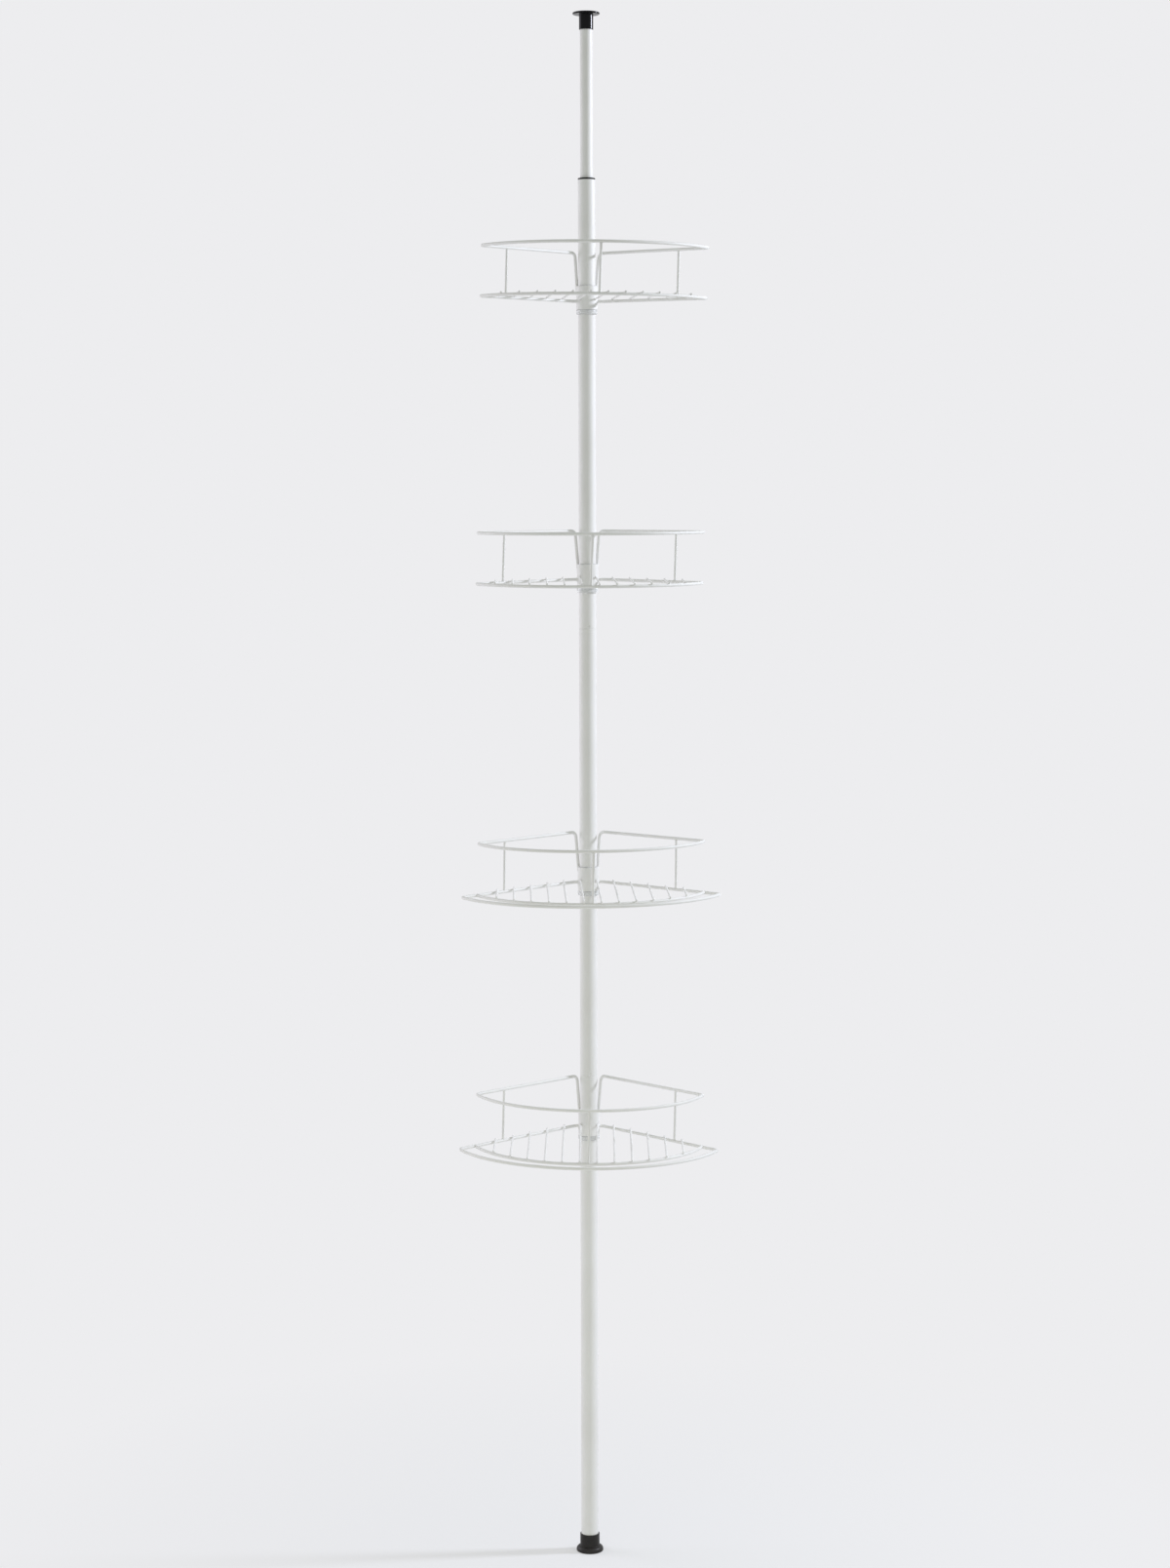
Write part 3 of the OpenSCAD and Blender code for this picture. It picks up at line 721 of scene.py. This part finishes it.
strut_r, strut_shift = 1.6, 1.5
strut_x = (cross_pairs - 1) * cross_pitch + strut_shift
butt_up, butt_swell = 0.3, (0.3, 1.0)
leg_out, leg_weld, leg_bend, leg_turn = 2.3, 6.0, 8.0, -38
leg_x = collar_r + leg_out
bead_size, bead_down = (0.9, 2.2, 2.9), 3.6


def rail_place(plan, k):
    """Points of shelf k's rail over plan points: it rises or falls evenly from its height
    beside the pole to its height at the front, and keeps its own length on the slope."""
    front, back = rail_lift[k]
    rise = (front - back) / basket_depth
    x, v = np.atleast_2d(plan).T
    return np.stack([x, -v * np.sqrt(1 - rise**2), rail_rise + back + v * rise], -1)


def strut(plan, k):
    """Sheet of one upright of shelf k between base and rail, its top aside with the rail,
    thickened at both butt welds."""
    low = placed(plan, wire_r - weld)[0]
    high = rail_place(plan, k)[0] + [rail_shift[k], 0, weld - wire_r]
    near_weld = np.linspace(0, 0.05, 6)
    s = np.unique(np.concatenate([np.linspace(0, 1, 9), near_weld, 1 - near_weld]))
    t = s * np.linalg.norm(high - low)
    thick = swollen(strut_r, t, [(butt_up, *butt_swell), (t[-1] - butt_up, *butt_swell)])
    return sweep(low + s[:, None] * (high - low), thick, 12, (0, 0), (0, 1, 0))


def rail_wire(k):
    """Sheet of shelf k's rail: up one leg, out along the side, round the tip and the front
    arc and back down the other leg. It stands aside as a whole, and each leg meets it where
    the side wire is as far from the middle as the leg."""
    shift, back = rail_shift[k], leg_x - side_x
    foot = (collar_r + wire_r - weld) * turning(2, leg_turn)[:2, 0]
    high = rail_place(np.vstack([(leg_x, back - shift), front_corners(arc_r), (-leg_x, back + shift)]), k)
    high[1:-1, 0] += shift
    feet = placed(np.stack([foot, foot * [-1, 1]]), collar_top - leg_weld)
    radii = [0, leg_bend, tip_r, arc_r, arc_r, arc_r, tip_r, leg_bend, 0]
    path = rounded(np.vstack([feet[:1], high, feet[1:]]), radii, [1, 12, 16, 24, 24, 24, 16, 12, 1])
    return sweep(fine_line(path, 6)[0], wire_r, 16, (0.5, 0.5), (0, 0.5, 1))


def weld_bead(side):
    """Bead between a leg and the collar: an ellipsoid stretched along the leg, whose
    radius swells and shrinks with three ripples."""
    p, q = np.linspace(0, np.pi, 15)[:, None], evenly(24)[None, :]
    ripple = 1 + np.sin(p) * (0.07 * np.sin(9 * np.cos(p)) + 0.03 * np.sin(3 * q + 2 * p))
    ball = np.stack([np.sin(p) * np.cos(q), np.sin(p) * np.sin(q), np.cos(p) + 0 * q], -1)
    bead = ball * bead_size * ripple[..., None] + [collar_r, 0, collar_top - bead_down]
    return bead @ turning(2, leg_turn).T * [side, -1, 1]


stands = [(-strut_x, strut_x - side_x), (strut_x, strut_x - side_x), (0, basket_depth)]
for k in shelves:
    body = f"basket_{k + 1}"
    uprights = make_mesh(f"uprights_{k + 1}", [(on_shelf(strut(stand, k), k), False) for stand in stands])
    fit(uprights, coat, "white_powder_coat", body, f"struts_{k + 1}")
    beads = [(on_shelf(weld_bead(side), k), False) for side in (-1, 1)]
    rail = make_mesh(f"rail_wire_{k + 1}", [(on_shelf(rail_wire(k), k), False), *beads])
    fit(rail, coat, "white_powder_coat", body, f"rail_{k + 1}")

# ---------------------------------------------------------------------------------------
# Studio: a pale floor and background, a hard key light from the right and a little
# behind, soft light from everywhere else, and the camera.

backdrop = (0.847, 0.847, 0.863)
scene = bpy.context.scene
scene.view_settings.view_transform = "Standard"


def light_path(tree, *rays):
    """1 for any of the named kinds of ray, otherwise 0."""
    path, total = tree.nodes.new("ShaderNodeLightPath"), None
    for ray in rays:
        if total is None:
            total = path.outputs[ray]
            continue
        either = tree.nodes.new("ShaderNodeMath")
        either.operation = "MAXIMUM"
        tree.links.new(total, either.inputs[0])
        tree.links.new(path.outputs[ray], either.inputs[1])
        total = either.outputs[0]
    return total


seen_rays = "Is Camera Ray", "Is Glossy Ray", "Is Transmission Ray"
world = bpy.data.worlds.new("studio")
scene.world = world
world.use_nodes = True
tree = world.node_tree
tree.nodes.clear()
seen, lit, mix, out = [tree.nodes.new(kind) for kind in (
    "ShaderNodeBackground", "ShaderNodeBackground", "ShaderNodeMixShader", "ShaderNodeOutputWorld"
)]
seen.inputs["Color"].default_value = (*backdrop, 1)
lit.inputs["Color"].default_value = (0.96, 1.0, 0.935, 1)
lit.inputs["Strength"].default_value = 0.50
tree.links.new(light_path(tree, *seen_rays), mix.inputs["Fac"])
tree.links.new(lit.outputs["Background"], mix.inputs[1])
tree.links.new(seen.outputs["Background"], mix.inputs[2])
tree.links.new(mix.outputs["Shader"], out.inputs["Surface"])

far = 60.0
floor_mesh = bpy.data.meshes.new("floor")
floor_mesh.from_pydata([(-far, -far, 0), (far, -far, 0), (far, far, 0), (-far, far, 0)], [], [(0, 1, 2, 3)])
floor = bpy.data.objects.new("floor", floor_mesh)
scene.collection.objects.link(floor)
paint, tree, shader, place = new_finish(
    "pale_floor", Base_Color=(0.88, 0.88, 0.895, 1), Roughness=0.9, Specular_IOR_Level=0.1
)
glow, mix = tree.nodes.new("ShaderNodeEmission"), tree.nodes.new("ShaderNodeMixShader")
glow.inputs["Color"].default_value = (*backdrop, 1)
far_off = tree.nodes.new("ShaderNodeVectorMath")
far_off.operation = "LENGTH"
tree.links.new(place, far_off.inputs[0])
faded = tree.nodes.new("ShaderNodeMath")
faded.operation = "MULTIPLY"
tree.links.new(between(tree, far_off.outputs["Value"], 0.45, 1, 0.1, 0.9), faded.inputs[0])
tree.links.new(light_path(tree, *seen_rays), faded.inputs[1])
tree.links.new(faded.outputs[0], mix.inputs["Fac"])
tree.links.new(shader.outputs["BSDF"], mix.inputs[1])
tree.links.new(glow.outputs["Emission"], mix.inputs[2])
tree.links.new(mix.outputs["Shader"], tree.nodes["Material Output"].inputs["Surface"])
floor_mesh.materials.append(paint)


def lamp(name, power, size, stand, aim, colour):
    """A round soft box of that power and diameter that stands at one point and faces another."""
    light = bpy.data.lights.new(name, "AREA")
    light.shape, light.size, light.energy, light.color = "DISK", size, power, colour
    thing = bpy.data.objects.new(name, light)
    thing.location = stand
    x, y, z = unit(np.array(stand, float) - aim)
    thing.rotation_euler = (np.arccos(z), 0, np.arctan2(y, x) + np.pi / 2)
    thing.visible_camera = False
    scene.collection.objects.link(thing)


lamp("key", 58, 0.35, (2.48, 0.24, 2.35), (0, 0, 0.9), (0.85, 0.875, 1.0))
lamp("fill", 27, 2.2, (-2.6, 0.8, 1.4), (0, 0, 1.0), (0.90, 0.85, 1.0))
lamp("low_fill", 2.4, 0.7, (-0.4, -1.5, 0.2), (0, 0, 0.25), (1.0, 0.96, 0.68))

camera_data = bpy.data.cameras.new("camera")
camera = bpy.data.objects.new("camera", camera_data)
scene.collection.objects.link(camera)
scene.camera = camera
frame_px, focal_px, sensor = 1608, 3074.9, 36
camera_data.sensor_fit = "VERTICAL"
camera_data.sensor_height = sensor
camera_data.lens = sensor * focal_px / frame_px
camera_data.shift_y = -0.14
camera_data.clip_end = 300
camera.location = (-0.0078, -3.8552, 1.3385)
yaw, down, roll = -0.069, 0.954, -0.149
aim = turning(2, yaw) @ turning(0, 90 - down) @ turning(2, roll)
camera.rotation_mode = "QUATERNION"
camera.rotation_quaternion = Matrix(aim.tolist()).to_quaternion()
